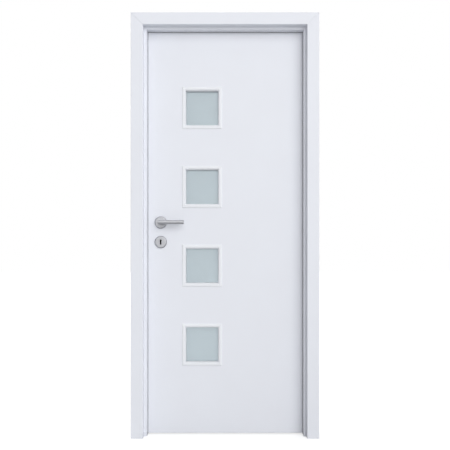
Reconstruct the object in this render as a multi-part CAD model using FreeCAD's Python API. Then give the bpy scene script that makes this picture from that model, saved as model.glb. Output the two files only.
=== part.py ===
import FreeCAD
import Part
import math
import os

# Prehung interior door with one leaf, in millimetres.
# The origin lies on the hinge jamb's wall face, at floor level and at mid wall thickness.
# The door runs towards -X, stands up along +Z, and is pushed open from the -Y side.

# Leaf and the gaps around it
leaf_width = 800.0
leaf_height = 2030.0
leaf_thickness = 40.0
hinge_side_gap = 5.0
latch_side_gap = 5.4
head_gap = 5.0
floor_gap = 7.0
edge_bevel_degrees = 3.0
skin_thickness = 3.5
stile_width = 45.0
rail_height = 45.0
lock_block_width = 95.0
lock_block_height = 330.0
lock_slot_width = 26.0
lock_slot_margin = 4.0

# Frame: jambs, stops, seal and casings
jamb_thickness = 30.0
wall_thickness = 105.0
casing_width = 60.0
casing_thickness = 12.0
casing_edge_radius = 3.0
back_reveal = 8.0
tongue_thickness = 5.0
tongue_depth = 15.0
groove_clearance = 0.2
casing_relief_width = 6.0
casing_relief_depth = 1.5
stop_thickness = 14.0
stop_width = 38.0
stop_edge_radius = 2.0
seal_space = 3.5
seal_lip = 2.0
seal_lip_thickness = 2.2
seal_root = 10.0
seal_clearance = 0.3
seal_edge_radius = 0.6
mitre_gap = 0.3

# Glazed lites
lite_count = 4
lite_cutout_width = 182.0
lite_cutout_height = 192.0
lite_centre_from_latch = 282.0
lowest_lite_from_bottom = 444.5
highest_lite_from_top = 391.0
glass_thickness = 4.0
glass_edge_clearance = 2.0
bead_overlap = 10.0
bead_height = 4.0
bead_edge_height = 1.2
bead_bevel_width = 5.0
bead_flat_width = 9.0
bead_slope_width = 7.0
bead_leg_clearance = 0.5

# Lock and strike
backset = 74.0
spindle_height = 1061.0
key_drop = 98.7
lock_case_depth = 100.0
lock_case_height = 178.0
lock_case_thickness = 15.0
lock_case_clearance = 0.3
faceplate_width = 20.0
faceplate_height = 235.0
faceplate_thickness = 3.0
bolt_length = 36.0
bolt_thickness = 12.0
latch_bolt_height = 20.0
dead_bolt_height = 30.0
dead_bolt_above_key = 30.0
bolt_clearance = 0.2
strike_height = 180.0
strike_thickness = 2.0
strike_edge_margin = 9.0
strike_lip_height = 64.0
strike_lip_reach = 3.0
strike_bend_radius = 1.0
strike_window_margin = 2.0
strike_pocket_depth = 16.0

# Lever handles, spindle and key roses
spindle_size = 8.0
spindle_clearance = 0.05
spindle_engagement = 23.0
follower_window = 20.0
leaf_hole_radius = 11.0
rose_radius = 31.0
rose_height = 9.0
rose_flat_radius = 26.5
rose_rim_height = 4.0
neck_clearance = 0.1
lever_radius = 10.0
lever_standoff = 48.0
lever_reach = 120.0
lever_end_chamfer = 0.8
neck_end_gap = 1.0
keyhole_radius = 5.0
keyhole_slot_width = 7.0
keyhole_height = 26.0
key_window_margin = 2.0

# Butt hinges
hinge_height = 100.0
hinge_plate_thickness = 2.5
hinge_plate_width = 30.0
hinge_corner_radius = 6.0
top_hinge_from_top = 217.0
bottom_hinge_from_bottom = 243.0
knuckle_count = 3
knuckle_radius = 7.0
knuckle_gap = 0.4
knuckle_proud = 8.5
hinge_pin_radius = 3.5
hinge_pin_clearance = 0.05
pin_end_proud = 1.6
pin_end_chamfer = 0.8

# Places that follow from the sizes
jamb_face = -jamb_thickness
leaf_hinge_edge = jamb_face - hinge_side_gap
leaf_latch_edge = leaf_hinge_edge - leaf_width
latch_face = leaf_latch_edge - latch_side_gap
opening_centre = (jamb_face + latch_face) / 2
leaf_top = floor_gap + leaf_height
head_face = leaf_top + head_gap
wall_back = wall_thickness / 2
wall_front = -wall_back
leaf_back = wall_back
leaf_front = leaf_back - leaf_thickness
leaf_middle = (leaf_front + leaf_back) / 2
core_front = leaf_front + skin_thickness
core_back = leaf_back - skin_thickness
stop_back = leaf_front - seal_space
lite_centre_x = leaf_latch_edge + lite_centre_from_latch
lowest_lite_z = floor_gap + lowest_lite_from_bottom
lite_pitch = (leaf_top - highest_lite_from_top - lowest_lite_z) / (lite_count - 1)
lite_centres = [lowest_lite_z + lite_pitch * row for row in range(lite_count)]
spindle_x = leaf_latch_edge + backset
spindle_z = floor_gap + spindle_height
key_z = spindle_z - key_drop
lock_middle_z = (spindle_z + key_z) / 2
dead_bolt_z = key_z + dead_bolt_above_key
hinge_axis_x = (jamb_face + leaf_hinge_edge) / 2
hinge_axis_y = leaf_back + knuckle_proud
top_hinge_z = leaf_top - top_hinge_from_top
bottom_hinge_z = floor_gap + bottom_hinge_from_bottom
hinge_heights = {"top": top_hinge_z, "middle": (top_hinge_z + bottom_hinge_z) / 2, "bottom": bottom_hinge_z}
beyond = 2 * casing_width

X = FreeCAD.Vector(1, 0, 0)
Y = FreeCAD.Vector(0, 1, 0)
Z = FreeCAD.Vector(0, 0, 1)
parts = {}


def point(x, y, z=0.0):
    return FreeCAD.Vector(x, y, z)


def box(x0, x1, y0, y1, z0, z1):
    return Part.makeBox(x1 - x0, y1 - y0, z1 - z0, point(x0, y0, z0))


def rounded_face(corners):
    """A flat face from corners (x, y, radius); each radius becomes an arc tangent to both sides."""
    edges = []
    starts = []
    ends = []
    middles = []
    for index, (x, y, radius) in enumerate(corners):
        corner = point(x, y)
        before = (point(*corners[index - 1][:2]) - corner).normalize()
        after = (point(*corners[(index + 1) % len(corners)][:2]) - corner).normalize()
        half_angle = before.getAngle(after) / 2
        cut_back = radius / math.tan(half_angle)
        starts.append(corner + before * cut_back)
        ends.append(corner + after * cut_back)
        inward = (before + after).normalize()
        middles.append(corner + inward * (radius / math.sin(half_angle) - radius))
    for index, (x, y, radius) in enumerate(corners):
        if radius:
            edges.append(Part.Arc(starts[index], middles[index], ends[index]).toShape())
        following = starts[(index + 1) % len(corners)]
        edges.append(Part.LineSegment(ends[index], following).toShape())
    return Part.Face(Part.Wire(edges))


def mitre_keep(top_shift, reach):
    """The region of the XZ plane below the 45 degree lines through the opening's top corners."""
    outline = [
        point(opening_centre, wall_front - reach, -reach),
        point(jamb_face + reach, wall_front - reach, -reach),
        point(jamb_face + reach, wall_front - reach, head_face + reach - top_shift),
        point(opening_centre, wall_front - reach, head_face - (jamb_face - opening_centre) - top_shift),
    ]
    return Part.Face(Part.makePolygon(outline + outline[:1])).extrude(Y * (wall_thickness + 2 * reach))


def frame_leg(profile):
    """A hinge side leg: the profile (outwards from the jamb face, y) drawn up to its mitre."""
    length = head_face + beyond
    leg = profile.extrude(Z * length)
    leg.translate(X * jamb_face)
    return leg.common(mitre_keep(mitre_gap / math.sqrt(2), beyond))


def latch_side(solid):
    """The same piece on the latch side, mirrored about the middle of the opening."""
    return solid.mirror(point(opening_centre, 0), X)


def frame_head(profile):
    """The head: the profile turned up and drawn across the opening between two mitres."""
    turned = profile.copy()
    turned.rotate(point(0, 0), Y, -90)
    head = turned.extrude(X * -(jamb_face - latch_face + 2 * beyond))
    head.translate(point(jamb_face + beyond, 0, head_face))
    keep = mitre_keep(-mitre_gap / math.sqrt(2), beyond)
    return head.cut(keep).cut(latch_side(keep))


def frame_set(profile):
    """Both legs and the head of one profile, mitred at the top corners."""
    leg = frame_leg(profile)
    return leg, latch_side(leg), frame_head(profile)


def jamb_profile():
    """A plain board with a groove down the middle of each edge for the casing's tongue."""
    board = rounded_face([
        (0, wall_front, 0),
        (jamb_thickness, wall_front, 0),
        (jamb_thickness, wall_back, 0),
        (0, wall_back, 0),
    ])
    groove_width = tongue_thickness + 2 * groove_clearance
    groove_depth = tongue_depth + groove_clearance
    corner = point((jamb_thickness - groove_width) / 2, wall_front)
    front_groove = Part.makePlane(groove_width, groove_depth, corner)
    back_groove = front_groove.mirror(point(0, 0), Y)
    return board.cut(front_groove).cut(back_groove).Faces[0]


def casing_profile(reveal):
    """A flat casing with rounded front edges and a tongue, as it lies on the front of the wall.

    A shallow relief behind it parts the strip on the jamb's edge from the land that lies on the wall.
    """
    face = wall_front - casing_thickness
    relief = wall_front - casing_relief_depth
    land = jamb_thickness + casing_relief_width
    tongue_inner = (jamb_thickness - tongue_thickness) / 2
    tongue_outer = tongue_inner + tongue_thickness
    return rounded_face([
        (reveal, face, casing_edge_radius),
        (casing_width, face, casing_edge_radius),
        (casing_width, wall_front, 0),
        (land, wall_front, 0),
        (land, relief, 0),
        (jamb_thickness, relief, 0),
        (jamb_thickness, wall_front, 0),
        (tongue_outer, wall_front, 0),
        (tongue_outer, wall_front + tongue_depth, 0),
        (tongue_inner, wall_front + tongue_depth, 0),
        (tongue_inner, wall_front, 0),
        (reveal, wall_front, 0),
    ])


def stop_profile():
    return rounded_face([
        (-stop_thickness, stop_back - stop_width, stop_edge_radius),
        (0, stop_back - stop_width, 0),
        (0, stop_back, 0),
        (-stop_thickness, stop_back, stop_edge_radius),
    ])


def seal_profile():
    """A rubber strip on the stop's back, with a lip that reaches past the stop's edge."""
    tip = leaf_front - seal_clearance
    return rounded_face([
        (-stop_thickness - seal_lip, tip - seal_lip_thickness, seal_edge_radius),
        (-stop_thickness, tip - seal_lip_thickness, 0),
        (-stop_thickness + stop_edge_radius, stop_back, 0),
        (-stop_thickness + seal_root, stop_back, 0),
        (-stop_thickness + seal_root, tip, 0),
        (-stop_thickness - seal_lip, tip, seal_edge_radius),
    ])


def build_frame():
    names = ("hinge_jamb", "latch_jamb", "head_jamb")
    parts.update(zip(names, frame_set(jamb_profile())))
    names = ("hinge_stop", "latch_stop", "head_stop")
    parts.update(zip(names, frame_set(stop_profile())))
    names = ("front_casing_right", "front_casing_left", "front_casing_head")
    parts.update(zip(names, frame_set(casing_profile(0))))
    names = ("back_casing_right", "back_casing_left", "back_casing_head")
    back_casings = [piece.mirror(point(0, 0), Y) for piece in frame_set(casing_profile(back_reveal))]
    parts.update(zip(names, back_casings))
    parts["frame_seal"] = Part.makeCompound(list(frame_set(seal_profile())))


def rectangle(half_width, half_height, y):
    """A rectangle across the leaf, centred on the line x = 0, z = 0."""
    corners = [
        point(-half_width, y, -half_height),
        point(half_width, y, -half_height),
        point(half_width, y, half_height),
        point(-half_width, y, half_height),
    ]
    return Part.makePolygon(corners + corners[:1])


def lite_frustum(inset_a, y_a, inset_b, y_b):
    """A block between two rectangles, each set in from the bead's outer edge."""
    half_width = lite_cutout_width / 2 + bead_overlap
    half_height = lite_cutout_height / 2 + bead_overlap
    wires = [
        rectangle(half_width - inset_a, half_height - inset_a, y_a),
        rectangle(half_width - inset_b, half_height - inset_b, y_b),
    ]
    return Part.makeLoft(wires, True, True)


def lite_bead():
    """One mitred bead frame on the front face: a bevelled flange and a leg that holds the glass."""
    glass_front = leaf_middle - glass_thickness / 2
    edge = leaf_front - bead_edge_height
    top = leaf_front - bead_height
    flat_end = bead_bevel_width + bead_flat_width
    sight_line = flat_end + bead_slope_width
    leg_outside = bead_overlap + bead_leg_clearance
    body = lite_frustum(0, leaf_front, 0, edge)
    body = body.fuse(lite_frustum(0, edge, bead_bevel_width, top))
    body = body.fuse(lite_frustum(leg_outside, leaf_front, leg_outside, glass_front))
    return body.cut(lite_frustum(flat_end, top, sight_line, glass_front)).removeSplitter()


def on_back(solid):
    """The same piece on the leaf's other face."""
    return solid.mirror(point(0, leaf_middle), Y)


def build_lites():
    bead = lite_bead()
    front_beads = []
    half_width = lite_cutout_width / 2 - glass_edge_clearance
    half_height = lite_cutout_height / 2 - glass_edge_clearance
    for number, centre_z in enumerate(lite_centres, start=1):
        placed = bead.copy()
        placed.translate(point(lite_centre_x, 0, centre_z))
        front_beads.append(placed)
        parts[f"glass_pane_{number}"] = box(
            lite_centre_x - half_width, lite_centre_x + half_width,
            leaf_middle - glass_thickness / 2, leaf_middle + glass_thickness / 2,
            centre_z - half_height, centre_z + half_height)
    parts["front_lite_frames"] = Part.makeCompound(front_beads)
    parts["back_lite_frames"] = Part.makeCompound([on_back(piece) for piece in front_beads])


def lite_cutouts():
    half_width = lite_cutout_width / 2
    half_height = lite_cutout_height / 2
    return [box(lite_centre_x - half_width, lite_centre_x + half_width, leaf_front, leaf_back,
                z - half_height, z + half_height) for z in lite_centres]


def edge_waste():
    """The wedge planed off the latch edge so that the leaf clears the jamb as it opens."""
    set_back = leaf_thickness * math.tan(math.radians(edge_bevel_degrees))
    outside = leaf_latch_edge - latch_side_gap
    outline = [
        point(outside, leaf_back),
        point(leaf_latch_edge, leaf_back),
        point(leaf_latch_edge + set_back, leaf_front),
        point(outside, leaf_front),
    ]
    return Part.Face(Part.makePolygon(outline + outline[:1])).extrude(Z * (leaf_top + floor_gap))


def cross_hole(radius, x, z):
    """A round hole through the whole leaf and its roses."""
    reach = leaf_thickness + 2 * rose_height
    return Part.makeCylinder(radius, reach, point(x, leaf_front - rose_height, z), Y)


def keyhole(clearance=0.0):
    """A round hole with a slot below it, through both skins and their roses."""
    reach = leaf_thickness + 2 * rose_height
    radius = keyhole_radius + clearance
    round_z = key_z + keyhole_height / 2 - keyhole_radius
    half_slot = keyhole_slot_width / 2 + clearance
    slot_end = key_z - keyhole_height / 2 + half_slot - clearance
    slot = box(spindle_x - half_slot, spindle_x + half_slot, leaf_front - rose_height,
               leaf_back + rose_height, slot_end, round_z)
    slot = slot.fuse(cross_hole(half_slot, spindle_x, slot_end))
    return slot.fuse(cross_hole(radius, spindle_x, round_z)).removeSplitter()


def lock_slot():
    """One straight slot routed through the lock block, for the spindle and the key."""
    half_width = lock_slot_width / 2
    low = key_z - keyhole_height / 2 - lock_slot_margin
    high = spindle_z + leaf_hole_radius + lock_slot_margin
    return box(spindle_x - half_width, spindle_x + half_width, core_front, core_back, low, high)


def case_window(half_width, half_height, z):
    """A straight window through the lock case, on the spindle's line."""
    return box(spindle_x - half_width, spindle_x + half_width, core_front, core_back,
               z - half_height, z + half_height)


def tilted(solid):
    """A piece of the square latch edge turned onto the bevel."""
    turned = solid.copy()
    turned.rotate(point(leaf_latch_edge, leaf_back), Z, edge_bevel_degrees)
    return turned


def faceplate():
    """The lock's steel edge plate, with round ends, let in flush with the bevel."""
    radius = faceplate_width / 2
    half = faceplate_height / 2 - radius
    inner = leaf_latch_edge + faceplate_thickness
    plate = box(leaf_latch_edge, inner, leaf_middle - radius, leaf_middle + radius,
                lock_middle_z - half, lock_middle_z + half)
    for end in (-half, half):
        plate = plate.fuse(Part.makeCylinder(radius, faceplate_thickness,
                                             point(leaf_latch_edge, leaf_middle, lock_middle_z + end), X))
    return tilted(plate.removeSplitter())


def lock_body(clearance=0.0):
    """The closed steel case behind the edge plate."""
    half_thickness = lock_case_thickness / 2 + clearance
    half_height = lock_case_height / 2 + clearance
    front = leaf_latch_edge + faceplate_thickness
    return box(front, front + lock_case_depth + clearance,
               leaf_middle - half_thickness, leaf_middle + half_thickness,
               lock_middle_z - half_height, lock_middle_z + half_height)


def bolt(height, z, clearance=0.0):
    """A bolt drawn back into the lock, its end flush with the edge plate."""
    half_thickness = bolt_thickness / 2 + clearance
    half_height = height / 2 + clearance
    return box(leaf_latch_edge - latch_side_gap, leaf_latch_edge + bolt_length + clearance,
               leaf_middle - half_thickness, leaf_middle + half_thickness,
               z - half_height, z + half_height)


def build_leaf():
    hinge_side = leaf_hinge_edge - stile_width
    latch_side_x = leaf_latch_edge + stile_width
    bottom = floor_gap
    waste = edge_waste()
    plate = faceplate()
    case_pocket = lock_body(lock_case_clearance)
    spindle_hole = cross_hole(leaf_hole_radius, spindle_x, spindle_z)
    key_hole = keyhole(bolt_clearance)
    door_plates = Part.makeCompound([hinge_plate_outline(z, "door") for z in hinge_heights.values()])

    for name, front in (("front_skin", leaf_front), ("back_skin", core_back)):
        skin = box(leaf_latch_edge, leaf_hinge_edge, front, front + skin_thickness, bottom, leaf_top)
        for cutout in lite_cutouts():
            skin = skin.cut(cutout)
        skin = skin.cut(spindle_hole).cut(key_hole).cut(waste).cut(door_plates)
        parts[name] = skin

    stile = box(leaf_latch_edge, latch_side_x, core_front, core_back, bottom, leaf_top)
    parts["latch_stile"] = stile.cut(waste).cut(plate).cut(case_pocket)
    stile = box(hinge_side, leaf_hinge_edge, core_front, core_back, bottom, leaf_top)
    parts["hinge_stile"] = stile.cut(door_plates)
    parts["top_rail"] = box(latch_side_x, hinge_side, core_front, core_back, leaf_top - rail_height, leaf_top)
    parts["bottom_rail"] = box(latch_side_x, hinge_side, core_front, core_back, bottom, bottom + rail_height)

    block = box(latch_side_x, latch_side_x + lock_block_width, core_front, core_back,
                lock_middle_z - lock_block_height / 2, lock_middle_z + lock_block_height / 2)
    core = box(latch_side_x, hinge_side, core_front, core_back, bottom + rail_height, leaf_top - rail_height)
    core = core.cut(block).cut(case_pocket)
    for cutout in lite_cutouts():
        core = core.cut(cutout)
    parts["leaf_core"] = core
    parts["lock_block"] = block.cut(case_pocket).cut(lock_slot())


def build_lock():
    waste = edge_waste()
    half_window = follower_window / 2
    key_half_width = keyhole_radius + key_window_margin
    key_half_height = keyhole_height / 2 + key_window_margin
    lock = faceplate().fuse(lock_body())
    lock = lock.cut(case_window(half_window, half_window, spindle_z))
    lock = lock.cut(case_window(key_half_width, key_half_height, key_z))
    bolts = {"latch_bolt": (latch_bolt_height, spindle_z), "dead_bolt": (dead_bolt_height, dead_bolt_z)}
    for name, (height, z) in bolts.items():
        lock = lock.cut(bolt(height, z, bolt_clearance))
        parts[name] = bolt(height, z).cut(waste)
    parts["lock_case"] = lock.removeSplitter()


def strike_outline(z0, z1, lip):
    """The strike plate seen from above: flat on the jamb face, with a lip round the jamb's back edge."""
    face = latch_face
    behind = face - strike_thickness
    start = leaf_middle - faceplate_width / 2 - strike_edge_margin
    bend = strike_bend_radius
    lip_face = wall_back + strike_thickness
    if lip:
        corners = [
            (face, start, 0),
            (face, lip_face, bend + strike_thickness),
            (behind - bend - strike_lip_reach, lip_face, 0),
            (behind - bend - strike_lip_reach, wall_back, 0),
            (behind, wall_back, bend),
            (behind, start, 0),
        ]
    else:
        corners = [(face, start, 0), (face, wall_back, 0), (behind, wall_back, 0), (behind, start, 0)]
    plate = rounded_face(corners).extrude(Z * (z1 - z0))
    plate.translate(Z * z0)
    return plate


def build_strike():
    half = strike_height / 2
    half_lip = strike_lip_height / 2
    plate = strike_outline(lock_middle_z - half, lock_middle_z + half, False)
    lip = strike_outline(spindle_z - half_lip, spindle_z + half_lip, True)
    plate = plate.fuse(lip)
    jamb = parts["latch_jamb"].cut(plate)
    for height, z in ((latch_bolt_height, spindle_z), (dead_bolt_height, dead_bolt_z)):
        half_thickness = bolt_thickness / 2 + strike_window_margin
        half_height = height / 2 + strike_window_margin
        pocket = box(latch_face - strike_pocket_depth, latch_face + strike_thickness,
                     leaf_middle - half_thickness, leaf_middle + half_thickness,
                     z - half_height, z + half_height)
        plate = plate.cut(pocket)
        jamb = jamb.cut(pocket)
    parts["strike_plate"] = plate.removeSplitter()
    parts["latch_jamb"] = jamb


def hinge_plate_outline(z, side):
    """The flat plate of a butt hinge, let in flush with the jamb or with the leaf's edge."""
    half = hinge_height / 2
    start = leaf_back - hinge_plate_width
    face = rounded_face([
        (start, -half, hinge_corner_radius),
        (leaf_back, -half, 0),
        (leaf_back, half, 0),
        (start, half, hinge_corner_radius),
    ])
    turned = face.copy()
    turned.rotate(point(0, 0), point(1, 1, 1), 120)
    plate = turned.extrude(X * hinge_plate_thickness)
    x = jamb_face if side == "frame" else leaf_hinge_edge - hinge_plate_thickness
    plate.translate(point(x, 0, z))
    return plate


def hinge_leaf(z, side):
    """One half of a butt hinge: its plate and its own knuckles around the pin."""
    first = 0 if side == "frame" else 1
    pitch = hinge_height / knuckle_count
    x = jamb_face if side == "frame" else leaf_hinge_edge - hinge_plate_thickness
    solid = hinge_plate_outline(z, side)
    for index in range(first, knuckle_count, 2):
        low = z - hinge_height / 2 + pitch * index + knuckle_gap / 2
        high = low + pitch - knuckle_gap
        solid = solid.fuse(box(x, x + hinge_plate_thickness, leaf_back, hinge_axis_y, low, high))
        solid = solid.fuse(Part.makeCylinder(knuckle_radius, high - low, point(hinge_axis_x, hinge_axis_y, low)))
    bore = Part.makeCylinder(hinge_pin_radius + hinge_pin_clearance, hinge_height,
                             point(hinge_axis_x, hinge_axis_y, z - hinge_height / 2))
    return solid.cut(bore).removeSplitter()


def turned_solid(outline, axis):
    """A solid of revolution from a closed outline of (radius, height) points, in the plane of the axis."""
    points = [X * radius + axis * height for radius, height in outline]
    return Part.Face(Part.makePolygon(points + points[:1])).revolve(point(0, 0), axis, 360)


def hinge_pin(z):
    """A steel pin that stands a little out of both ends of the barrel, with chamfered ends."""
    top = hinge_height / 2 + pin_end_proud
    upper = [(hinge_pin_radius, top - pin_end_chamfer), (hinge_pin_radius - pin_end_chamfer, top), (0, top)]
    lower = [(radius, -height) for radius, height in reversed(upper)]
    pin = turned_solid(lower + upper, Z)
    pin.translate(point(hinge_axis_x, hinge_axis_y, z))
    return pin


def build_hinges():
    jamb = parts["hinge_jamb"]
    for name, z in hinge_heights.items():
        parts[f"{name}_hinge_frame_leaf"] = hinge_leaf(z, "frame")
        parts[f"{name}_hinge_door_leaf"] = hinge_leaf(z, "door")
        jamb = jamb.cut(hinge_plate_outline(z, "frame"))
    parts["hinge_jamb"] = jamb
    parts["hinge_pins"] = Part.makeCompound([hinge_pin(z) for z in hinge_heights.values()])


def rose(z):
    """A round plate with a flat face and a sloped rim, on the front of the leaf."""
    outline = [(0, 0), (rose_radius, 0), (rose_radius, rose_rim_height),
               (rose_flat_radius, rose_height), (0, rose_height)]
    solid = turned_solid(outline, -Y)
    solid.translate(point(spindle_x, leaf_front, z))
    return solid


def lever():
    """A round neck out of the rose, mitred to a round bar that points at the hinges."""
    bar_y = leaf_front - lever_standoff
    neck_end = leaf_front - neck_end_gap
    far = lever_reach + lever_radius
    neck = Part.makeCylinder(lever_radius, neck_end - bar_y + lever_radius,
                             point(spindle_x, bar_y - lever_radius, spindle_z), Y)
    bar = Part.makeCylinder(lever_radius, far, point(spindle_x - lever_radius, bar_y, spindle_z), X)
    end_rim = [edge for edge in bar.Edges if edge.Closed and edge.CenterOfMass.x > spindle_x]
    bar = bar.makeChamfer(lever_end_chamfer, end_rim)
    corner = [point(-far, -far), point(far, far), point(-far, far)]
    neck_side = Part.Face(Part.makePolygon(corner + corner[:1])).extrude(Z * lever_radius * 4)
    neck_side.translate(point(spindle_x, bar_y, spindle_z - lever_radius * 2))
    neck = neck.common(neck_side)
    bar = bar.cut(neck_side)
    socket_half = spindle_size / 2 + spindle_clearance
    socket = box(spindle_x - socket_half, spindle_x + socket_half, neck_end - spindle_engagement, neck_end,
                 spindle_z - socket_half, spindle_z + socket_half)
    return neck.fuse(bar).removeSplitter().cut(socket)


def build_handle():
    parts["front_lever"] = lever()
    parts["back_lever"] = on_back(parts["front_lever"])
    half = spindle_size / 2
    reach = neck_end_gap + spindle_engagement - spindle_clearance
    parts["spindle"] = box(spindle_x - half, spindle_x + half, leaf_front - reach, leaf_back + reach,
                           spindle_z - half, spindle_z + half)
    neck_bore = cross_hole(lever_radius + neck_clearance, spindle_x, spindle_z)
    parts["front_rose"] = rose(spindle_z).cut(neck_bore)
    parts["back_rose"] = on_back(parts["front_rose"])
    parts["front_key_rose"] = rose(key_z).cut(keyhole())
    parts["back_key_rose"] = on_back(parts["front_key_rose"])


build_frame()
build_hinges()
build_strike()
build_leaf()
build_lites()
build_lock()
build_handle()

os.makedirs("parts", exist_ok=True)
for name, shape in parts.items():
    shape.exportStep(f"parts/{name}.step")
    solids = shape.Solids
    print(name, len(solids), "solids", round(shape.Volume / 1000), "cm3", "valid" if shape.isValid() else "INVALID")
print(len(parts), "nodes")
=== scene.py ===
import math

import bmesh
import bpy
import numpy as np
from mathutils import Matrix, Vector


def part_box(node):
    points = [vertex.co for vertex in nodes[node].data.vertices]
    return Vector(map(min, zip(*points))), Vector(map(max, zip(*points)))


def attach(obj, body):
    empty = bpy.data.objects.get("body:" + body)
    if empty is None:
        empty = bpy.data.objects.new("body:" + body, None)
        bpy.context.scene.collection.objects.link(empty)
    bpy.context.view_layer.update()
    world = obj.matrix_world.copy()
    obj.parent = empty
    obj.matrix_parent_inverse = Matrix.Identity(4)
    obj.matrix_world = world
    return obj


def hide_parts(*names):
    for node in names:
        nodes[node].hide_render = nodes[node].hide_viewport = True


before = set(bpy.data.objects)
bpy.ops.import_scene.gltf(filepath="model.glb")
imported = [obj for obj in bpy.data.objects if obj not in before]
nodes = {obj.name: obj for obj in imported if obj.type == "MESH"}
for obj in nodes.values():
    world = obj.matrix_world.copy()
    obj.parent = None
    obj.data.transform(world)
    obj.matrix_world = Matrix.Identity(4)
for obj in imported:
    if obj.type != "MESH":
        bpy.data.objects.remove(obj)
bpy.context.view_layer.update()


# Camera. The photograph looks square on to the door's push side, from just below half its height
# and a little to the right, 3.2 m in front of the casing. Its frame is centred on the door.
casing_low, casing_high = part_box("front_casing_head")
door_middle = (casing_low.x + casing_high.x) / 2
eye_distance = 3.2
eye_aside = 0.085
eye_height = 0.95
frame_middle_height = 1.053
camera_data = bpy.data.cameras.new("camera")
camera_data.lens = 51.95
view_width = eye_distance * camera_data.sensor_width / camera_data.lens
camera_data.shift_x = -eye_aside / view_width
camera_data.shift_y = (frame_middle_height - eye_height) / view_width
camera = bpy.data.objects.new("camera", camera_data)
camera.location = (door_middle + eye_aside, casing_low.y - eye_distance, eye_height)
camera.rotation_euler = (math.radians(90), 0, 0)
bpy.context.collection.objects.link(camera)
bpy.context.scene.camera = camera
bpy.context.scene.view_settings.view_transform = "Standard"


# Studio light. A broad soft light comes from the right in front of the door, another from behind
# it, and a room light that is stronger above and on the right fills the rest. Eye, gloss and glass
# see the room as plain white.
room_level = 0.396
room_lean = (0.4, 0.0, 0.7)
lamp_distance = 6.0


def soft_light(name, turn, rise, breadth, strength):
    """Even light from a round patch, turned from the door's front and raised by these degrees."""
    turn, rise = math.radians(turn), math.radians(rise)
    towards = Vector((math.sin(turn) * math.cos(rise), -math.cos(turn) * math.cos(rise), math.sin(rise)))
    data = bpy.data.lights.new(name, "SUN")
    data.angle = math.radians(breadth)
    data.energy = strength
    lamp = bpy.data.objects.new(name, data)
    lamp.location = towards * lamp_distance
    lamp.rotation_euler = (-towards).to_track_quat("-Z", "Y").to_euler()
    bpy.context.collection.objects.link(lamp)


soft_light("key_light", turn=24, rise=17, breadth=48, strength=1.66)
soft_light("back_light", turn=238, rise=32, breadth=46, strength=1.6)


def add(tree, kind, inputs=(), **settings):
    """A node of one kind with its settings; each input is a number, a colour or a node's socket."""
    node = tree.nodes.new(kind)
    for key, value in settings.items():
        setattr(node, key, value)
    connect(tree, node, inputs)
    return node


def connect(tree, node, inputs):
    """Sets a node's inputs by name or number, from constants or from sockets."""
    for key, value in dict(inputs).items():
        if isinstance(value, bpy.types.NodeSocket):
            tree.links.new(value, node.inputs[key])
        else:
            node.inputs[key].default_value = value


def arithmetic(tree, operation, *values, clamp=False):
    """The result of one sum; each value is a number or a node's socket."""
    return add(tree, "ShaderNodeMath", enumerate(values), operation=operation, use_clamp=clamp).outputs[0]


def white_to_eye(tree, gloss=1.0):
    """A factor that is 1 for the eye itself and through glass, this value in gloss, and else 0.

    Rays that have already scattered from a matt face get 0 as well.
    """
    path = add(tree, "ShaderNodeLightPath").outputs
    seen = arithmetic(tree, "MULTIPLY_ADD", path["Is Glossy Ray"], gloss, path["Is Camera Ray"])
    seen = arithmetic(tree, "ADD", seen, path["Is Transmission Ray"], clamp=True)
    unscattered = arithmetic(tree, "LESS_THAN", path["Diffuse Depth"], 0.5)
    return arithmetic(tree, "MULTIPLY", seen, unscattered)


world = bpy.data.worlds.new("white_room")
world.use_nodes = True
bpy.context.scene.world = world
sky = world.node_tree
direction = add(sky, "ShaderNodeTexCoord").outputs["Generated"]
lean = add(sky, "ShaderNodeVectorMath", {0: direction, 1: room_lean}, operation="DOT_PRODUCT")
lit = arithmetic(sky, "MULTIPLY_ADD", lean.outputs["Value"], room_level, room_level)
level = add(sky, "ShaderNodeMix", {"Factor": white_to_eye(sky), "A": lit, "B": 1.0}, data_type="FLOAT")
connect(sky, sky.nodes["Background"], {"Color": (1, 1, 1, 1), "Strength": level.outputs[0]})


# Floor. A plain matt white studio floor, lit up to the white of the room where nothing shades it,
# so that only the door's own soft shadow shows on it. It stays unlit in gloss, which gives the
# undersides of the steel their darker tone.
floor_size = 40.0
floor_drop = 0.0002
floor_glow = 0.63
floor_white = (192, 192, 192)


def new_object(name, vertices, faces):
    """An object at the origin with this mesh in it, its faces turned outwards."""
    mesh = bpy.data.meshes.new(name)
    mesh.from_pydata(np.asarray(vertices, float).tolist(), [], faces)
    shell = bmesh.new()
    shell.from_mesh(mesh)
    bmesh.ops.recalc_face_normals(shell, faces=shell.faces)
    shell.to_mesh(mesh)
    shell.free()
    made = bpy.data.objects.new(name, mesh)
    bpy.context.collection.objects.link(made)
    return made


def paint(red, green, blue):
    """A colour as the eye reads it, 0 to 255, as the linear colour that a shader takes."""
    seen = np.array([red, green, blue]) / 255
    linear = np.where(seen > 0.04045, ((seen + 0.055) / 1.055) ** 2.4, seen / 12.92)
    return (*linear.tolist(), 1.0)


corners = np.array([(-1, -1), (1, -1), (1, 1), (-1, 1)]) * floor_size / 2
floor = new_object("floor", np.column_stack([corners, np.full(4, -floor_drop)]), [(0, 1, 2, 3)])
floor_finish = bpy.data.materials.new("studio_floor")
floor_finish.use_nodes = True
tree = floor_finish.node_tree
connect(tree, tree.nodes["Principled BSDF"], {
    "Base Color": paint(*floor_white), "Roughness": 0.9, "Specular IOR Level": 0.0,
    "Emission Color": (1, 1, 1, 1),
    "Emission Strength": arithmetic(tree, "MULTIPLY", white_to_eye(tree, gloss=0.0), floor_glow)})
floor.data.materials.append(floor_finish)


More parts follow.
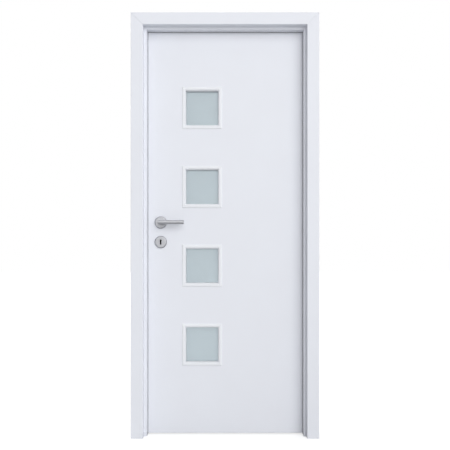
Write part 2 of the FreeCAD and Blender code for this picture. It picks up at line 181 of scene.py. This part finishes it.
# Jambs. Three lacquered fibreboard boards, mitred at the head, grooved for the casings, and cut
# out for the hinges and the strike. Their edges are sanded to a small round before painting.
jamb_edge = 0.0008
flat_angle = math.radians(0.5)
edge_angle = math.radians(40)
door_white = (232, 235, 242)


def shader(name):
    """A new material, its node tree, its main shader and the place on the piece in metres."""
    finish = bpy.data.materials.new(name)
    finish.use_nodes = True
    made = finish.node_tree
    return finish, made, made.nodes["Principled BSDF"], add(made, "ShaderNodeTexCoord").outputs["Object"]


def speckle(made, place, scale, detail=2.0):
    """Soft random noise, about one blot for each 1/scale metres."""
    return add(made, "ShaderNodeTexNoise", {"Vector": place, "Scale": scale, "Detail": detail}).outputs[0]


def spread(made, source, low, high):
    """The middle of a noise's range carried over to the values from low to high."""
    return add(made, "ShaderNodeMapRange", {"Value": source, "From Min": 0.3, "From Max": 0.7,
                                            "To Min": low, "To Max": high}).outputs[0]


def shaded(colour, share):
    """A darker colour: each channel brought down to this share."""
    return [round(channel * share) for channel in colour]


def two_tone(made, factor, first, second):
    """One colour mottled with another, by the mixing node's inputs and output for colours."""
    return add(made, "ShaderNodeMix", {0: factor, 6: paint(*first), 7: paint(*second)},
               data_type="RGBA").outputs[2]


def relief(made, height, depth, under=None):
    """A bump of the given depth in metres, on top of another bump if there is one."""
    inputs = {"Height": height, "Distance": depth, "Strength": 1.0}
    if under:
        inputs["Normal"] = under
    return add(made, "ShaderNodeBump", inputs).outputs[0]


def lacquer(name, colour):
    """Sprayed satin lacquer: faint cloudy tone, uneven gloss, and an orange peel of about 2 mm."""
    finish, made, bsdf, place = shader(name)
    clouds = speckle(made, place, scale=5.0, detail=4.0)
    sheen = speckle(made, place, scale=30.0, detail=4.0)
    peel = relief(made, speckle(made, place, scale=520.0), depth=0.000012)
    connect(made, bsdf, {
        "Base Color": two_tone(made, clouds, shaded(colour, 0.985), colour),
        "Roughness": spread(made, sheen, 0.38, 0.48), "Specular IOR Level": 0.4,
        "Normal": relief(made, speckle(made, place, scale=45.0), depth=0.00003, under=peel)})
    return finish


def smooth(piece, degrees=30):
    """Shades round faces smoothly, keeps the edges sharper than this, and shades flat faces flat."""
    piece.data.shade_smooth()
    piece.data.set_sharp_from_angle(angle=math.radians(degrees))
    weighted = piece.modifiers.new("flat_faces_flat", "WEIGHTED_NORMAL")
    weighted.keep_sharp = True


def fit(piece, body, slot, finish, *stands_for):
    """Finishes a piece and says what it moves with and which CAD nodes it stands for."""
    piece.data.materials.clear()
    piece.data.materials.append(finish)
    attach(piece, body)
    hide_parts(*stands_for)


def eased_copy(name, source, width):
    """The CAD piece's own faces, joined up, with every sharp edge rounded by a narrow bevel."""
    mesh = nodes[source].data
    places = np.empty(len(mesh.vertices) * 3)
    mesh.vertices.foreach_get("co", places)
    corners = np.empty(len(mesh.loops), int)
    mesh.loops.foreach_get("vertex_index", corners)
    points, index = np.unique(places.reshape(-1, 3).round(6), axis=0, return_inverse=True)
    copied = new_object(name, points, index.ravel()[corners].reshape(-1, 3).tolist())
    shell = bmesh.new()
    shell.from_mesh(copied.data)
    bmesh.ops.dissolve_limit(shell, angle_limit=flat_angle, verts=shell.verts, edges=shell.edges)
    shell.to_mesh(copied.data)
    shell.free()
    bevel = copied.modifiers.new("eased_edges", "BEVEL")
    bevel.width = width
    bevel.segments = 2
    bevel.limit_method = "ANGLE"
    bevel.angle_limit = edge_angle
    smooth(copied, degrees=180)
    return copied


frame_lacquer = lacquer("frame_lacquer", door_white)
for side in ("hinge", "latch", "head"):
    fit(eased_copy(f"{side}_jamb_board", f"{side}_jamb", jamb_edge), "frame", "frame_lacquer",
        frame_lacquer, f"{side}_jamb")


# Stops. Lacquered strips planted on the jambs, 14 by 38 mm, mitred at the head, with the two edges
# that stand in the opening rounded over.
jamb_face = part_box("hinge_jamb")[0].x
latch_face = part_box("latch_jamb")[1].x
head_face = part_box("head_jamb")[0].z
mitre_gap = 0.0003
stop_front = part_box("hinge_stop")[0].y
stop_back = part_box("hinge_stop")[1].y
stop_thickness = jamb_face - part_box("hinge_stop")[0].x
stop_round = 0.002


def eased_outline(corners, steps=5):
    """An outline from corners (a, b, radius), each radius drawn as an arc tangent to both sides."""
    drawn = []
    for number, (a, b, radius) in enumerate(corners):
        corner = np.array([a, b])
        if not radius:
            drawn.append(corner[None])
            continue
        before = np.array(corners[number - 1][:2]) - corner
        after = np.array(corners[(number + 1) % len(corners)][:2]) - corner
        before, after = before / np.linalg.norm(before), after / np.linalg.norm(after)
        half = math.acos(np.clip(before @ after, -1, 1)) / 2
        inward = (before + after) / np.linalg.norm(before + after)
        centre = corner + inward * radius / math.sin(half)
        first = corner + before * radius / math.tan(half) - centre
        last = corner + after * radius / math.tan(half) - centre
        sweep = math.pi - 2 * half
        turn = np.linspace(0, 1, steps + 1)[:, None] * sweep
        drawn.append(centre + (first * np.sin(sweep - turn) + last * np.sin(turn)) / math.sin(sweep))
    return np.concatenate(drawn)


def stick(*outlines):
    """A straight bar through the same outline placed at two or more stations, both ends closed."""
    count = len(outlines[0])
    ring = np.arange(count)
    following = np.roll(ring, -1)
    band = np.column_stack([ring, following, following + count, ring + count])
    last = count * (len(outlines) - 1)
    sides = np.concatenate([band + first for first in range(0, last, count)])
    return np.concatenate(outlines), sides.tolist() + [ring.tolist(), (ring + last).tolist()]


def joined(*solids):
    """Several meshes as one: the points run on, and each mesh's faces count from its own first."""
    vertices, faces, first = [], [], 0
    for points, sides in solids:
        vertices.append(points)
        faces += [[corner + first for corner in side] for side in sides]
        first += len(points)
    return np.concatenate(vertices), faces


def frame_sticks(outline, shift=mitre_gap / math.sqrt(2), notch=(0.0, 0.0)):
    """Hinge leg, latch leg and head of one outline (out from the jamb face, y), cut at 45 degrees.

    A leg's point runs up from the floor until its height above the head face is its distance from
    the jamb face, less the shift; the head's point runs across between the same two mitres. A notch
    (length, depth) slopes the outermost faces back over the last of their length.
    """
    out, depth = outline.T
    length, drop = notch
    sloped = np.clip(depth, depth.min() + drop, depth.max() - drop)
    cuts = [(depth, shift + length), (sloped, shift)] if length else [(depth, shift)]
    foot, high = np.zeros_like(out), head_face + out
    sticks = {}
    for side, across in (("hinge", jamb_face + out), ("latch", latch_face - out)):
        sticks[side] = stick(np.column_stack([across, depth, foot]),
                             *[np.column_stack([across, y, high - back]) for y, back in cuts])
    sticks["head"] = stick(
        *[np.column_stack([latch_face - out + back, y, high]) for y, back in reversed(cuts)],
        *[np.column_stack([jamb_face + out - back, y, high]) for y, back in cuts])
    return sticks


stop_outline = eased_outline([
    (-stop_thickness, stop_front, stop_round), (0, stop_front, 0),
    (0, stop_back, 0), (-stop_thickness, stop_back, stop_round)])
for side, solid in frame_sticks(stop_outline).items():
    stop = new_object(f"{side}_stop_strip", *solid)
    smooth(stop)
    fit(stop, "frame", "frame_lacquer", frame_lacquer, f"{side}_stop")


# Casings. Flat lacquered boards 60 by 12 mm on both sides of the wall, mitred at the head, with a
# tongue glued in the jamb's groove, rounded outer edges and a fine V where the mitres meet.
casing_width = 0.060
casing_round = 0.003
casing_foot = 0.0525
jamb_thickness = 0.030
tongue_near, tongue_far = 0.0125, 0.0175
tongue_length = 0.015
relief_end, relief_depth = 0.036, 0.0015
glue_line = 0.00002
mitre_notch = (0.0004, 0.003)
reveals = {"front": 0.0, "back": 0.008}
casing_names = {"hinge": "right", "latch": "left", "head": "head"}
for wall_side, reveal in reveals.items():
    away = -1 if wall_side == "front" else 1
    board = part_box(f"{wall_side}_casing_head")
    face = board[0].y if away < 0 else board[1].y
    foot = away * casing_foot
    hollow = away * (casing_foot + relief_depth)
    inside = away * (casing_foot - tongue_length)
    outline = eased_outline([
        (reveal, face, casing_round), (casing_width, face, casing_round), (casing_width, foot, 0),
        (relief_end, foot, 0), (relief_end, hollow, 0), (jamb_thickness, hollow, 0),
        (jamb_thickness, foot, 0), (tongue_far, foot, 0), (tongue_far, inside, 0),
        (tongue_near, inside, 0), (tongue_near, foot, 0), (reveal, foot, 0)])
    for side, solid in frame_sticks(outline, glue_line, mitre_notch).items():
        casing = new_object(f"{wall_side}_casing_board_{casing_names[side]}", *solid)
        smooth(casing)
        fit(casing, "frame", "frame_lacquer", frame_lacquer, f"{wall_side}_casing_{casing_names[side]}")


# Seal. A grey rubber strip on the back of the stops, whose soft lip closes the gap to the leaf.
# Its edges come rounded from the die.
leaf_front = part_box("front_skin")[0].y
leaf_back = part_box("back_skin")[1].y
seal_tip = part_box("frame_seal")[1].y
lip_reach = 0.002
lip_thickness = 0.0022
lip_round = 0.0008
heel_round = 0.0003
seal_root = 0.010
seal_grey = (128, 130, 134)
seal_outline = eased_outline([
    (-stop_thickness - lip_reach, seal_tip - lip_thickness, lip_round),
    (-stop_thickness, seal_tip - lip_thickness, heel_round), (-stop_thickness + stop_round, stop_back, 0),
    (-stop_thickness + seal_root, stop_back, 0), (-stop_thickness + seal_root, seal_tip, 0),
    (-stop_thickness - lip_reach, seal_tip, lip_round)])


def rubber(name, colour, dust_light=14):
    """Matt extruded rubber with a dull sheen and specks of dust, lighter by this many steps."""
    finish, made, bsdf, place = shader(name)
    dust = speckle(made, place, scale=900.0, detail=3.0)
    connect(made, bsdf, {
        "Base Color": two_tone(made, dust, colour, [channel + dust_light for channel in colour]),
        "Roughness": spread(made, dust, 0.62, 0.78), "Specular IOR Level": 0.35,
        "Normal": relief(made, dust, depth=0.00002)})
    return finish


seal = new_object("seal_lip", *joined(*frame_sticks(seal_outline).values()))
smooth(seal, degrees=50)
fit(seal, "frame", "seal_rubber", rubber("seal_rubber", seal_grey), "frame_seal")


# Leaf. A flush hollow leaf: two fibreboard skins glued over stiles, rails and a board core, planed
# to 3 degrees on the latch edge, its edges sanded round and the whole sprayed white.
leaf_low, leaf_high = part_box("back_skin")
leaf_faces = (("front", leaf_front, -1), ("back", leaf_back, 1))
skin_thickness = 0.0035
skin_round = 0.0012
rim_steps = 5
latch_slope = math.tan(math.radians(3))
panes = [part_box(f"glass_pane_{number}") for number in (1, 2, 3, 4)]
pane_clearance = 0.002
spindle_x = sum(corner.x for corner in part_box("spindle")) / 2
spindle_z = sum(corner.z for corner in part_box("spindle")) / 2
key_z = sum(corner.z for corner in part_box("front_key_rose")) / 2
neck_hole_half = 0.011
key_hole_half, key_hole_half_height = 0.006, 0.014
hinge_heights = {name: sum(corner.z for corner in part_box(f"{name}_hinge_door_leaf")) / 2
                 for name in ("top", "middle", "bottom")}
notch_depth, notch_half_height = 0.0025, 0.05


def hole_about(x, z, half_width, half_height):
    """The sides of an upright oblong hole: low x, high x, low z, high z."""
    return x - half_width, x + half_width, z - half_height, z + half_height


def skin_sheet(face_y, core_y, holes):
    """A sheet on a grid of lines in x and z, with cells left out for the holes.

    The face sinks towards the core near the outer edge by a quarter circle: by the radius less the
    root of the radius squared less the square of what is left of the radius.
    """
    rim = skin_round * (1 - np.cos(np.linspace(0, math.pi / 2, rim_steps)))
    across = [side for hole in holes for side in hole[:2]]
    upright = [side for hole in holes for side in hole[2:]]
    xs = np.unique(np.round([*(leaf_low.x + rim), *(leaf_high.x - rim), *across], 6))
    zs = np.unique(np.round([*(leaf_low.z + rim), *(leaf_high.z - rim), *upright], 6))
    grid_x, grid_z = np.meshgrid(xs, zs, indexing="ij")
    edge = np.minimum.reduce([grid_x - leaf_low.x, leaf_high.x - grid_x,
                              grid_z - leaf_low.z, leaf_high.z - grid_z])
    left = skin_round - np.clip(edge, 0, skin_round)
    sink = skin_round - np.sqrt(skin_round ** 2 - left ** 2)
    near_latch = grid_x < leaf_low.x + 1.01 * skin_round
    layers = []
    for depth in (face_y + np.sign(core_y - face_y) * sink, np.full_like(sink, core_y)):
        moved = grid_x + near_latch * (leaf_back - depth) * latch_slope
        layers.append(np.stack([moved, depth, grid_z], axis=-1).reshape(-1, 3))
    middle_x, middle_z = np.meshgrid((xs[1:] + xs[:-1]) / 2, (zs[1:] + zs[:-1]) / 2, indexing="ij")
    kept = np.ones_like(middle_x, bool)
    for x0, x1, z0, z1 in holes:
        kept &= ~((middle_x > x0) & (middle_x < x1) & (middle_z > z0) & (middle_z < z1))
    number = np.arange(grid_x.size).reshape(grid_x.shape)
    cells = np.stack([number[:-1, :-1], number[1:, :-1], number[1:, 1:], number[:-1, 1:]], axis=-1)[kept]
    padded = np.pad(kept, 1)
    in_x = padded[1:, 1:-1] != padded[:-1, 1:-1]
    in_z = padded[1:-1, 1:] != padded[1:-1, :-1]
    borders = np.concatenate([np.stack([number[:, :-1], number[:, 1:]], axis=-1)[in_x],
                              np.stack([number[:-1, :], number[1:, :]], axis=-1)[in_z]])
    walls = np.column_stack([borders, borders[:, ::-1] + grid_x.size])
    faces = np.concatenate([cells, cells[:, ::-1] + grid_x.size, walls])
    used, renumbered = np.unique(faces, return_inverse=True)
    return np.concatenate(layers)[used], renumbered.reshape(-1, 4).tolist()


def finish_node(name, finish):
    """Gives a CAD piece that is shown as it is a better finish."""
    for place in nodes[name].material_slots:
        place.material = finish


leaf_lacquer = lacquer("leaf_lacquer", door_white)
skin_holes = [hole_about(spindle_x, spindle_z, neck_hole_half, neck_hole_half),
              hole_about(spindle_x, key_z, key_hole_half, key_hole_half_height)]
skin_holes += [(low.x - pane_clearance, high.x + pane_clearance, low.z - pane_clearance,
                high.z + pane_clearance) for low, high in panes]
hinge_notches = [(leaf_high.x - notch_depth, leaf_high.x, z - notch_half_height, z + notch_half_height)
                 for z in hinge_heights.values()]
skins = {"front": (leaf_front, leaf_front + skin_thickness, skin_holes),
         "back": (leaf_back, leaf_back - skin_thickness, skin_holes + hinge_notches)}
for side, measures in skins.items():
    skin = new_object(f"{side}_face_sheet", *skin_sheet(*measures))
    smooth(skin, degrees=35)
    fit(skin, "leaf", "leaf_lacquer", leaf_lacquer, f"{side}_skin")
for name in ("latch_stile", "hinge_stile", "top_rail", "bottom_rail"):
    finish_node(name, leaf_lacquer)


# Core and lock block. Raw particle board inside the leaf, seen only down the keyhole: pale chips
# pressed together with darker ones between.
pale_chip, dark_chip = (214, 188, 148), (170, 138, 98)


def chipboard(name):
    """Wood chips of 2 to 3 mm with their sides showing as cells, rough and without gloss."""
    finish, made, bsdf, place = shader(name)
    cells = {"Vector": place, "Scale": 420.0, "Randomness": 1.0}
    chips = add(made, "ShaderNodeTexVoronoi", cells).outputs[0]
    connect(made, bsdf, {
        "Base Color": two_tone(made, spread(made, chips, 0.0, 1.0), pale_chip, dark_chip),
        "Roughness": spread(made, chips, 0.75, 0.9), "Normal": relief(made, chips, depth=0.0003)})
    return finish


core_board = chipboard("leaf_core_board")
for name in ("leaf_core", "lock_block"):
    finish_node(name, core_board)


# Lites. Four panes of acid-etched glass, each held between two mitred bead frames. A bead has a
# bevelled flange on the leaf, a flat, a slope of 45 degrees and a steep leg down to the glass.
bead_half_width = 0.101
bead_half_height = 0.106
bead_gap = 0.00012
bead_shape = [(0.0, 0.0, 0), (0.0, 0.0012, 0.0004), (0.005, 0.004, 0.0016), (0.014, 0.004, 0.0009),
              (0.0195, -0.0015, 0.0006), (0.021, -0.018, 0), (0.0105, -0.018, 0), (0.0105, 0.0, 0)]
# The beads' white is a little lighter than the door's. This is painted light, which makes the bead slopes
# read as lit.
bead_white_painted_light = (237, 239, 244)
glass_tint = (196, 208, 214)


def bead_frame(middle_x, middle_z, face_y, outwards):
    """Four bars of one outline (in from the frame's edge, height off the leaf), mitred together.

    Each bar's point runs along its side until it is as far from the next side as from its own.
    """
    inset, height = eased_outline(bead_shape).T
    depth = face_y + outwards * height
    half_z = bead_half_height - inset - bead_gap
    half_x = bead_half_width - inset - bead_gap
    bars = []
    for sign in (-1, 1):
        x = middle_x + sign * (bead_half_width - inset)
        bars.append(stick(np.column_stack([x, depth, middle_z - half_z]),
                          np.column_stack([x, depth, middle_z + half_z])))
        z = middle_z + sign * (bead_half_height - inset)
        bars.append(stick(np.column_stack([middle_x - half_x, depth, z]),
                          np.column_stack([middle_x + half_x, depth, z])))
    return joined(*bars)


def frosted_glass(name, colour):
    """Acid-etched glass: a fine even grain that scatters what comes through, faintly green-blue."""
    finish, made, bsdf, place = shader(name)
    grain = speckle(made, place, scale=1600.0, detail=3.0)
    haze = speckle(made, place, scale=14.0, detail=3.0)
    connect(made, bsdf, {
        "Base Color": two_tone(made, haze, shaded(colour, 0.98), colour),
        "Roughness": spread(made, grain, 0.42, 0.56), "IOR": 1.5, "Transmission Weight": 0.78,
        "Normal": relief(made, grain, depth=0.00002)})
    return finish


bead_lacquer = lacquer("bead_lacquer", bead_white_painted_light)
etched_glass = frosted_glass("frosted_glass", glass_tint)
for number, (low, high) in enumerate(panes, start=1):
    finish_node(f"glass_pane_{number}", etched_glass)
    middle_x, middle_z = (low.x + high.x) / 2, (low.z + high.z) / 2
    for side, face_y, outwards in leaf_faces:
        bead = new_object(f"{side}_bead_frame_{number}", *bead_frame(middle_x, middle_z, face_y, outwards))
        smooth(bead)
        fit(bead, "leaf", "bead_lacquer", bead_lacquer, f"{side}_lite_frames")


# Lock and strike. A steel mortise lock in the latch edge, its bolts drawn back flush with the edge
# plate, and a lipped strike plate let into the jamb. All are brushed along their length.
plate_edge = 0.0003
bolt_edge = 0.0006
plate_grey = (178, 180, 184)


def brushed_steel(name, colour, along, roughness=(0.28, 0.4), metallic=1.0, centre=None):
    """Steel with fine scratches, drawn out along one direction or in circles round a centre (x, z).

    The scratches are noise that changes fast across them and slowly, or not at all, along them.
    """
    finish, made, bsdf, place = shader(name)
    if centre is None:
        stretch = [25.0 if axis == along else 1800.0 for axis in "XYZ"]
        drawn_out = add(made, "ShaderNodeMapping", {"Vector": place, "Scale": stretch}).outputs[0]
        grain = speckle(made, drawn_out, scale=1.0, detail=3.0)
    else:
        x, z = centre
        moved = add(made, "ShaderNodeMapping", {"Vector": place, "Location": (-x, 0, -z)}).outputs[0]
        flat = add(made, "ShaderNodeVectorMath", {0: moved, 1: (1, 0, 1)}, operation="MULTIPLY").outputs[0]
        radius = add(made, "ShaderNodeVectorMath", {0: flat}, operation="LENGTH").outputs["Value"]
        grain = add(made, "ShaderNodeTexNoise", {"W": radius, "Scale": 2600.0, "Detail": 3.0},
                    noise_dimensions="1D").outputs[0]
    marks = speckle(made, place, scale=60.0, detail=3.0)
    connect(made, bsdf, {
        "Base Color": two_tone(made, marks, shaded(colour, 0.94), colour), "Metallic": metallic,
        "Roughness": spread(made, grain, *roughness), "Normal": relief(made, grain, depth=0.000008)})
    return finish


lock_steel = brushed_steel("lock_steel", plate_grey, along="Z")
fit(eased_copy("strike_plate_pressed", "strike_plate", plate_edge), "frame", "lock_steel", lock_steel,
    "strike_plate")
fit(eased_copy("lock_case_and_plate", "lock_case", plate_edge), "leaf", "lock_steel", lock_steel,
    "lock_case")
for name in ("latch_bolt", "dead_bolt"):
    fit(eased_copy(f"{name}_bar", name, bolt_edge), "leaf", "lock_steel", lock_steel, name)


# Key levers. A pack of thin steel levers stands across the middle of the lock, which the key's
# bit lifts. Their near-black colour is painted shade, the dark inside the lock, and it makes the keyhole
# look black.
leaf_middle = (leaf_front + leaf_back) / 2
pack_half_width, pack_half_height = 0.0068, 0.0148
lever_half_thickness = 0.0006
steps_and_slants = ((-0.0016, 0.0), (0.0, 0.0012), (0.0016, 0.0006))
# Painted shade: the pack's two near-black tones, mottled at random, stand in for the shade inside the lock.
lever_pack_painted_shade, made, bsdf, place = shader("key_lever_painted_shade")
oil_and_painted_shade = speckle(made, place, scale=200.0, detail=3.0)
connect(made, bsdf, {"Base Color": two_tone(made, oil_and_painted_shade, (30, 29, 28), (48, 45, 42)),
                     "Roughness": spread(made, oil_and_painted_shade, 0.6, 0.8), "Specular IOR Level": 0.1})
plates = []
for step, slant in steps_and_slants:
    outline = np.array([(-pack_half_width, -pack_half_height), (pack_half_width, slant - pack_half_height),
                        (pack_half_width, pack_half_height), (-pack_half_width, pack_half_height)])
    x, z = spindle_x + outline[:, 0], key_z + outline[:, 1]
    plates.append(stick(*[np.column_stack([x, np.full(4, leaf_middle + step + half), z])
                          for half in (-lever_half_thickness, lever_half_thickness)]))
fit(new_object("key_lever_pack", *joined(*plates)), "leaf", "lock_steel", lever_pack_painted_shade)


# Roses. Turned steel covers on both faces of the leaf: the upper one round the lever's neck, the
# lower one with the keyhole. Each has a flat face and a softly rounded rim.
rose_low, rose_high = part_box("front_rose")
rose_radius = (rose_high.x - rose_low.x) / 2
rose_height = rose_high.y - rose_low.y
rim_width, rim_height = 0.0042, 0.004
rim_round, face_round = 0.0012, 0.003
cover_thickness = 0.0016
cover_back = rose_height - cover_thickness
neck_bore = 0.0101
hole_edge = 0.0004
hollow_width = 0.006
round_steps = 96
keyhole_round_up, keyhole_round_radius = 0.008, 0.005
keyhole_slot_down, keyhole_slot_half = 0.0095, 0.0035
keyhole_farthest, keyhole_trials = 0.016, 400
satin = {"colour": (184, 185, 189), "along": "X", "roughness": (0.34, 0.44), "metallic": 0.85}
rose_profile = eased_outline([
    (rose_radius, 0.0, 0), (rose_radius, rim_height, rim_round),
    (rose_radius - rim_width, rose_height, face_round), (0.0, rose_height, 0)], steps=6)[:-1]


def turned_skin(radii, heights):
    """A surface of revolution as a closed grid: each profile point runs once round the axis.

    radii is one number or one row of numbers for each profile point, around the circle.
    """
    angle = np.linspace(0, 2 * math.pi, round_steps, endpoint=False)
    rows = np.asarray(radii, float).reshape(len(heights), -1)
    reach = np.broadcast_to(rows, (len(heights), round_steps))
    across, up = reach * np.cos(angle), reach * np.sin(angle)
    out = np.broadcast_to(np.asarray(heights, float)[:, None], reach.shape)
    number = np.arange(reach.size).reshape(reach.shape)
    beside, above = np.roll(number, -1, axis=1), np.roll(number, -1, axis=0)
    quads = np.stack([number, beside, np.roll(beside, -1, axis=0), above], axis=-1).reshape(-1, 4)
    return np.stack([across, out, up], axis=-1).reshape(-1, 3), quads.tolist()


def keyhole_reach():
    """How far the keyhole goes from the rose's middle at each angle round it.

    It is the farthest of many distances along the ray that lies in the round hole, in the slot
    below it or in the slot's round end.
    """
    angle = np.linspace(0, 2 * math.pi, round_steps, endpoint=False)
    distance = np.linspace(0, keyhole_farthest, keyhole_trials)[:, None]
    x, z = distance * np.cos(angle), distance * np.sin(angle)
    in_round = np.hypot(x, z - keyhole_round_up) < keyhole_round_radius
    in_slot = (np.abs(x) < keyhole_slot_half) & (z < keyhole_round_up) & (z > -keyhole_slot_down)
    in_end = np.hypot(x, z + keyhole_slot_down) < keyhole_slot_half
    return ((in_round | in_slot | in_end) * distance).max(axis=0)


def place_on_leaf(points, middle_z, face_y, outwards):
    """Points (across, height off the leaf, up) set on a face of the leaf, on the spindle's upright line."""
    across, height, up = points.T
    return np.column_stack([spindle_x + across, face_y + outwards * height, middle_z + up])


hole = keyhole_reach()
rim = [np.full(round_steps, radius) for radius in rose_profile[:, 0]]
covers = {
    "rose": (spindle_z, [*rose_profile[:, 0], neck_bore + hole_edge, neck_bore, neck_bore],
             [*rose_profile[:, 1], rose_height, rose_height - hole_edge, 0.0]),
    "key_rose": (key_z, rim + [hole + hole_edge, hole, hole, hole + hollow_width, hole + hollow_width],
                 [*rose_profile[:, 1], rose_height, rose_height - hole_edge, cover_back, cover_back, 0.0])}
rose_steels = {kind: brushed_steel(f"{kind}_steel", centre=(spindle_x, middle_z), **satin)
               for kind, (middle_z, radii, heights) in covers.items()}
for side, face_y, outwards in leaf_faces:
    for kind, (middle_z, radii, heights) in covers.items():
        points, quads = turned_skin(radii, heights)
        cover = new_object(f"{side}_{kind}_cover", place_on_leaf(points, middle_z, face_y, outwards), quads)
        smooth(cover, degrees=40)
        fit(cover, "leaf", "satin_steel", rose_steels[kind], f"{side}_{kind}")


# Levers. A round steel bar on both faces, mitred at its neck and polished over the joint. The neck
# has a square socket that slides on the spindle.
lever_radius = 0.010
bar_off_face = 0.048
lever_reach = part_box("front_lever")[1].x - spindle_x
neck_end = 0.001
joint_round = 0.0014
end_round = 0.0012
socket_half = 0.00405
socket_depth = 0.023
bar_steps = 64
centre_share = 0.02


def lever_skin():
    """The round bar as lines side by side: each runs out along the neck, turns the corner on a
    small arc and runs along the bar; the slanted rings where they turn make the mitre.

    Returned as (along the leaf, height off the leaf, up), with the neck on the axis.
    """
    angle = np.linspace(0, 2 * math.pi, bar_steps, endpoint=False)
    side, up = lever_radius * np.cos(angle), lever_radius * np.sin(angle)
    square = socket_half / np.maximum(np.abs(np.cos(angle)), np.abs(np.sin(angle))) / lever_radius
    socket_end = neck_end + socket_depth
    rings = []
    for share, height in ((centre_share, socket_end), (square, socket_end), (square, neck_end),
                          (1.0, neck_end)):
        rings.append(np.column_stack([-side * share, np.full(bar_steps, height), up * share]))
    corner_x, corner_y = -side + joint_round, bar_off_face + side - joint_round
    for turn in np.linspace(0, math.pi / 2, 7):
        rings.append(np.column_stack([corner_x - joint_round * math.cos(turn),
                                      corner_y + joint_round * math.sin(turn), up]))
    for turn in np.linspace(0, math.pi / 2, 6):
        share = 1 - (1 - math.cos(turn)) * end_round / lever_radius
        x = np.full(bar_steps, lever_reach - end_round + end_round * math.sin(turn))
        rings.append(np.column_stack([x, bar_off_face + side * share, up * share]))
    for share in (0.5, centre_share):
        x = np.full(bar_steps, lever_reach)
        rings.append(np.column_stack([x, bar_off_face + side * share, up * share]))
    points = np.concatenate(rings)
    number = np.arange(len(points)).reshape(len(rings), bar_steps)
    beside = np.roll(number, -1, axis=1)
    quads = np.stack([number[:-1], beside[:-1], beside[1:], number[1:]], axis=-1).reshape(-1, 4).tolist()
    return points, quads + [number[0].tolist(), number[-1].tolist()]


lever_steel = brushed_steel("lever_steel", **satin)
points, quads = lever_skin()
for side, face_y, outwards in leaf_faces:
    handle = new_object(f"{side}_lever_bar", place_on_leaf(points, spindle_z, face_y, outwards), quads)
    smooth(handle, degrees=40)
    fit(handle, "handle", "satin_steel", lever_steel, f"{side}_lever")
finish_node("spindle", lever_steel)


# Hinges. Three steel butt hinges with three knuckles each, let in flush on jamb and leaf edge, on
# loose pins. They are brushed along the door's height.
hinge_grey = (180, 182, 186)
hinge_steel = brushed_steel("hinge_steel", hinge_grey, along="Z")
for name in hinge_heights:
    fit(eased_copy(f"{name}_hinge_on_jamb", f"{name}_hinge_frame_leaf", plate_edge), "frame",
        "hinge_steel", hinge_steel, f"{name}_hinge_frame_leaf")
    fit(eased_copy(f"{name}_hinge_on_leaf", f"{name}_hinge_door_leaf", plate_edge), "leaf",
        "hinge_steel", hinge_steel, f"{name}_hinge_door_leaf")
fit(eased_copy("hinge_pin_rods", "hinge_pins", plate_edge), "frame", "hinge_steel", hinge_steel,
    "hinge_pins")


# Screws. Raised countersunk steel wood screws with a cross recess: four in each hinge plate, two in
# the strike and two in the lock's edge plate.
screw_radius = 0.0038
screw_proud = 0.0007
screw_rim = 0.00015
recess_floor = 0.00008
recess_half = 0.0006
recess_end = 0.6
screw_steps = 48
hinge_rows = (leaf_back - 0.0195, leaf_back - 0.0105)
hinge_offsets = (-0.038, -0.014, 0.014, 0.038)
strike_offsets = (-0.075, 0.078)
edge_plate_offsets = (-0.106, 0.106)


def screw_head():
    """A low dome with a cross sunk in it, as rings of points round the axis.

    The dome falls with the square of the radius. A point drops to the recess floor where it lies
    within the cross's two arms, which end at six tenths of the radius. Returned as (across, out, up).
    """
    shares = np.array([0.0, 0.08, 0.15, 0.17, 0.3, 0.45, 0.58, 0.62, 0.8, 0.93, 1.0, 1.0])[:, None]
    angle = np.linspace(0, 2 * math.pi, screw_steps, endpoint=False)
    across = screw_radius * shares * np.cos(angle)
    up = screw_radius * shares * np.sin(angle)
    arm = np.minimum(np.abs(across), np.abs(up)) < recess_half
    sunk = arm & (shares < recess_end)
    dome = np.broadcast_to(screw_proud - (screw_proud - screw_rim) * shares ** 2, sunk.shape)
    out = np.where(sunk, recess_floor, dome)
    out[-1] = -screw_rim
    points = np.stack([across, out, up], axis=-1).reshape(-1, 3)
    number = np.arange(len(points)).reshape(out.shape)
    beside = np.roll(number, -1, axis=1)
    quads = np.stack([number[:-1], beside[:-1], beside[1:], number[1:]], axis=-1).reshape(-1, 4)
    return points, quads.tolist() + [number[-1].tolist()]


def screws(name, places, outwards, body, slot, finish):
    """Screw heads at these places, all with their axis along outwards, as one piece."""
    out = np.array(outwards, float) / np.linalg.norm(outwards)
    up = np.array([0.0, 0.0, 1.0])
    across = np.cross(up, out)
    points, quads = screw_head()
    turned = points @ np.array([across, out, up])
    made = new_object(name, *joined(*[(turned + place, quads) for place in np.array(places)]))
    shell = bmesh.new()
    shell.from_mesh(made.data)
    bmesh.ops.remove_doubles(shell, verts=shell.verts, dist=1e-7)
    bmesh.ops.recalc_face_normals(shell, faces=shell.faces)
    shell.to_mesh(made.data)
    shell.free()
    smooth(made)
    fit(made, body, slot, finish)


spots = list(zip(hinge_rows * 2, hinge_offsets))
for name, z in hinge_heights.items():
    screws(f"{name}_jamb_screws", [(jamb_face, y, z + offset) for y, offset in spots], (-1, 0, 0),
           "frame", "hinge_steel", hinge_steel)
    screws(f"{name}_leaf_screws", [(leaf_high.x, y, z + offset) for y, offset in spots], (1, 0, 0),
           "leaf", "hinge_steel", hinge_steel)
lock_z = (spindle_z + key_z) / 2
screws("strike_screws", [(latch_face, leaf_middle, lock_z + offset) for offset in strike_offsets],
       (1, 0, 0), "frame", "lock_steel", lock_steel)
edge_x = leaf_low.x + (leaf_back - leaf_middle) * latch_slope
screws("edge_plate_screws", [(edge_x, leaf_middle, lock_z + offset) for offset in edge_plate_offsets],
       (-1, latch_slope, 0), "leaf", "lock_steel", lock_steel)
